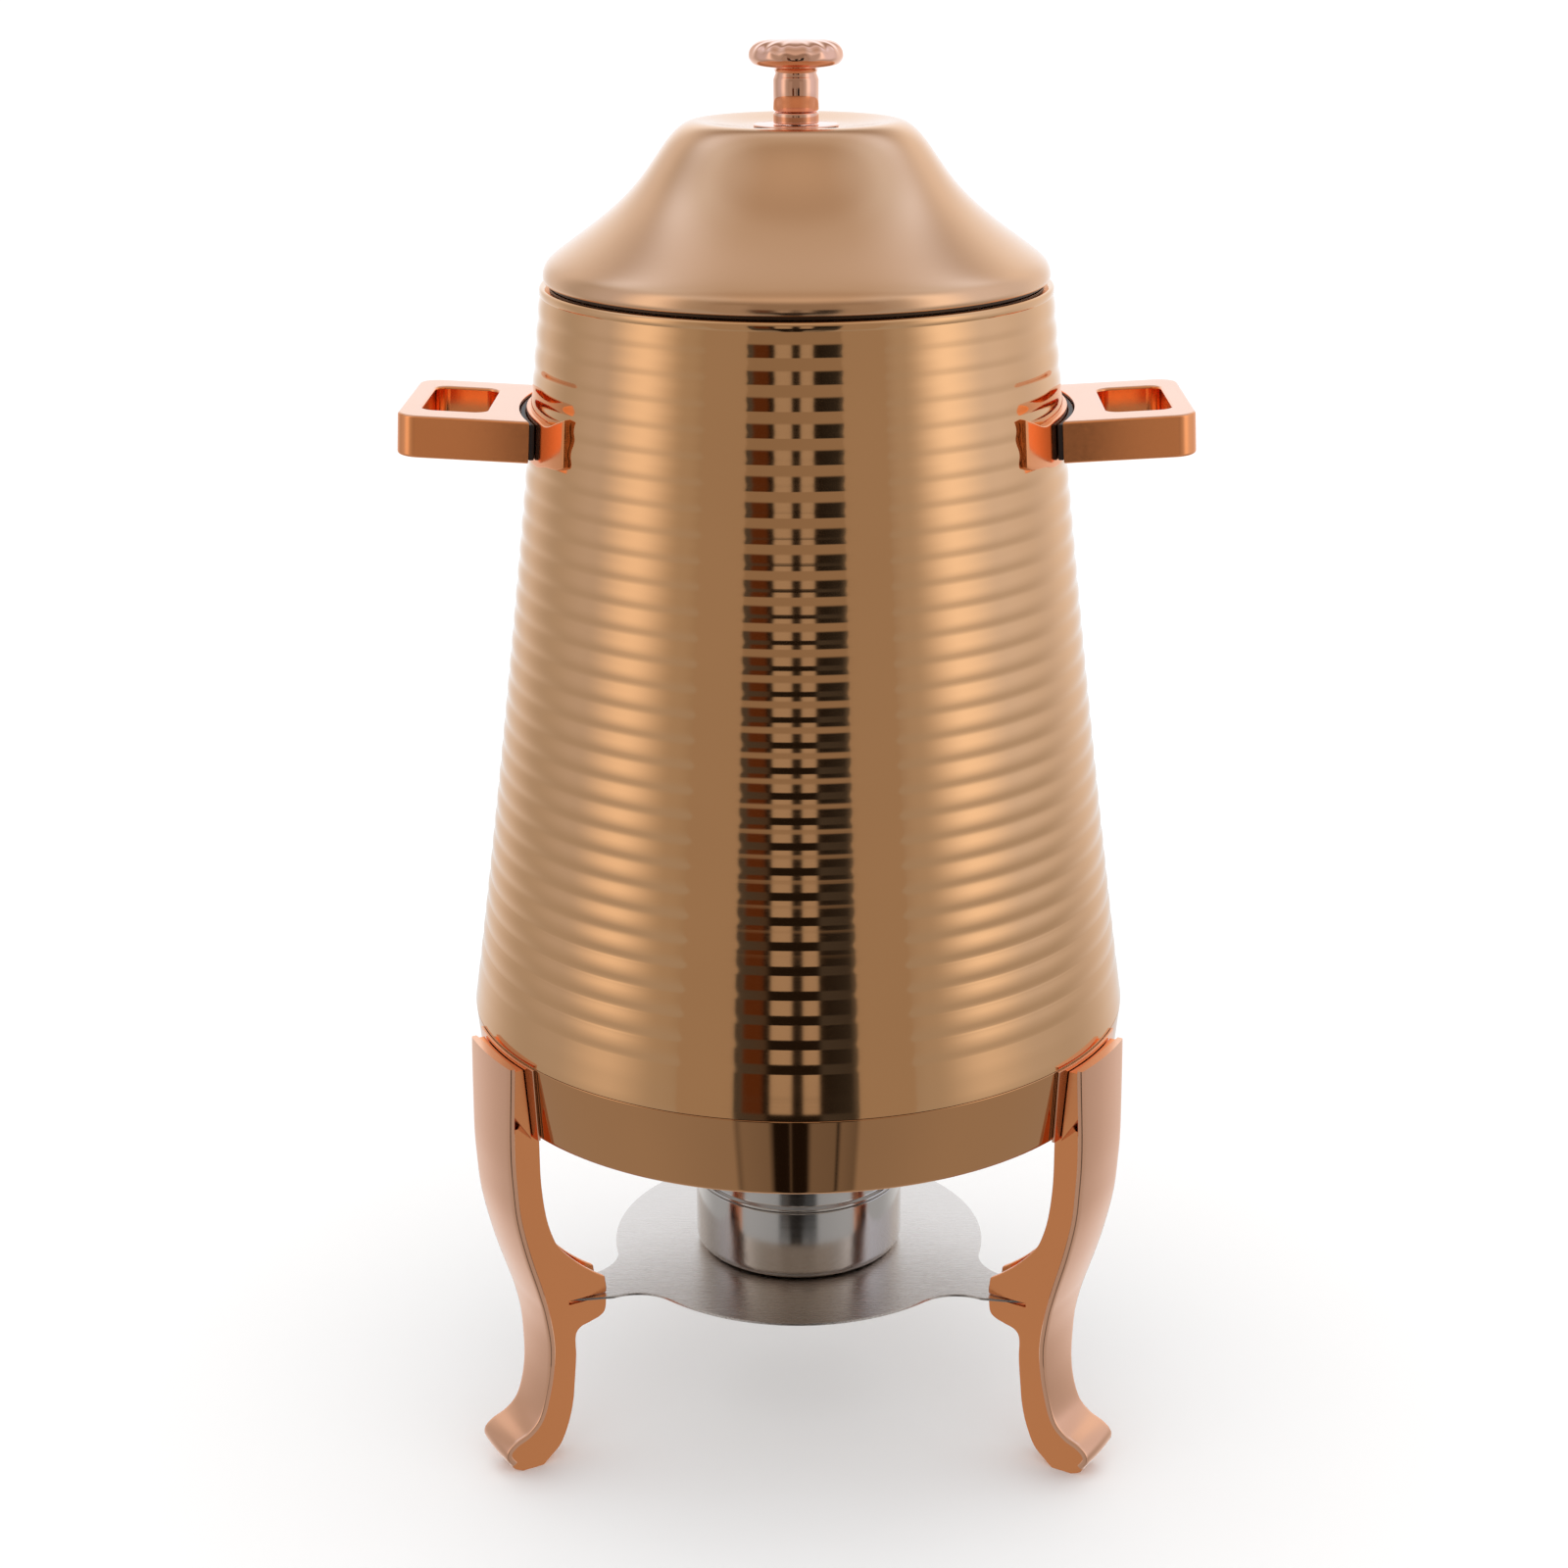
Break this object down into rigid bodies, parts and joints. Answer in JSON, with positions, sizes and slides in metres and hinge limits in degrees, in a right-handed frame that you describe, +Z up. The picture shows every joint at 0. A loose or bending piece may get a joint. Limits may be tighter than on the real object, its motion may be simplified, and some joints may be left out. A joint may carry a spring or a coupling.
{
  "type": "soup kettle",
  "caption": "Tall tapered soup kettle on cast legs, with a lift-off domed lid, a lift-out pot, side handles and a gel-fuel burner on the plate below.",
  "frame": {"origin": "on the floor, at the centre of the kettle's bounding box; the axis of the round parts stands 6.1 mm in front of it, towards -Y", "axes": "+Z up, -Y towards the front, where the burner goes in between two legs, +X towards the viewer's right"},
  "size_m": [0.3416, 0.3122, 0.6401],
  "materials": {
    "bronze_jacket": "polished bronze-gold coating over fine spun ripples",
    "bronze_band": "mirror-polished bronze-gold coating",
    "bronze_lid": "polished bronze-gold coating",
    "copper_casting": "polished, copper-coloured plating",
    "copper_knob": "polished, rose-copper plating",
    "satin_steel": "satin, brushed",
    "polished_steel": "bright satin",
    "screw_steel": "plain",
    "black_gasket": "matt black"
  },
  "bodies": {
    "stand_and_jacket": {"kettle_jacket": "bronze_jacket", "base_band": "bronze_band", "water_pan": "satin_steel", "handle_left": "copper_casting", "handle_gasket_left": "black_gasket", "handle_bracket_left": "copper_casting", "handle_screw_left_front": "screw_steel", "handle_screw_left_rear": "screw_steel", "handle_right": "copper_casting", "handle_gasket_right": "black_gasket", "handle_bracket_right": "copper_casting", "handle_screw_right_front": "screw_steel", "handle_screw_right_rear": "screw_steel", "leg_front_left": "copper_casting", "saddle_front_left": "copper_casting", "leg_screw_front_left_upper": "screw_steel", "leg_screw_front_left_lower": "screw_steel", "leg_front_right": "copper_casting", "saddle_front_right": "copper_casting", "leg_screw_front_right_upper": "screw_steel", "leg_screw_front_right_lower": "screw_steel", "leg_back": "copper_casting", "saddle_back": "copper_casting", "leg_screw_back_upper": "screw_steel", "leg_screw_back_lower": "screw_steel", "burner_plate": "satin_steel"},
    "pot": {"soup_pot": "satin_steel"},
    "lid": {"lid": "bronze_lid", "knob": "copper_knob", "knob_collar": "copper_knob", "knob_washer": "copper_knob", "knob_screw": "screw_steel"},
    "burner": {"burner_cup": "polished_steel"},
    "burner_cap": {"burner_cover": "polished_steel", "flap_pin": "polished_steel"},
    "flap": {"snuffer_flap": "polished_steel"}
  },
  "joints": [
    {"name": "pot_lift", "type": "slide", "parent": "stand_and_jacket", "child": "pot", "axis": [0, 0, 1], "range_m": [0, 0.32]},
    {"name": "lid_lift", "type": "slide", "parent": "pot", "child": "lid", "axis": [0, 0, 1], "range_m": [0, 0.12]},
    {"name": "burner_slide", "type": "slide", "parent": "stand_and_jacket", "child": "burner", "axis": [0, -1, 0], "range_m": [0, 0.21]},
    {"name": "burner_cap_lift", "type": "slide", "parent": "burner", "child": "burner_cap", "axis": [0, 0, 1], "range_m": [0, 0.03]},
    {"name": "flap_swing", "type": "hinge", "parent": "burner_cap", "child": "flap", "pos_m": [0, -0.04215, 0.1305], "axis": [0, 0, 1], "range_deg": [0, 110]}
  ]
}
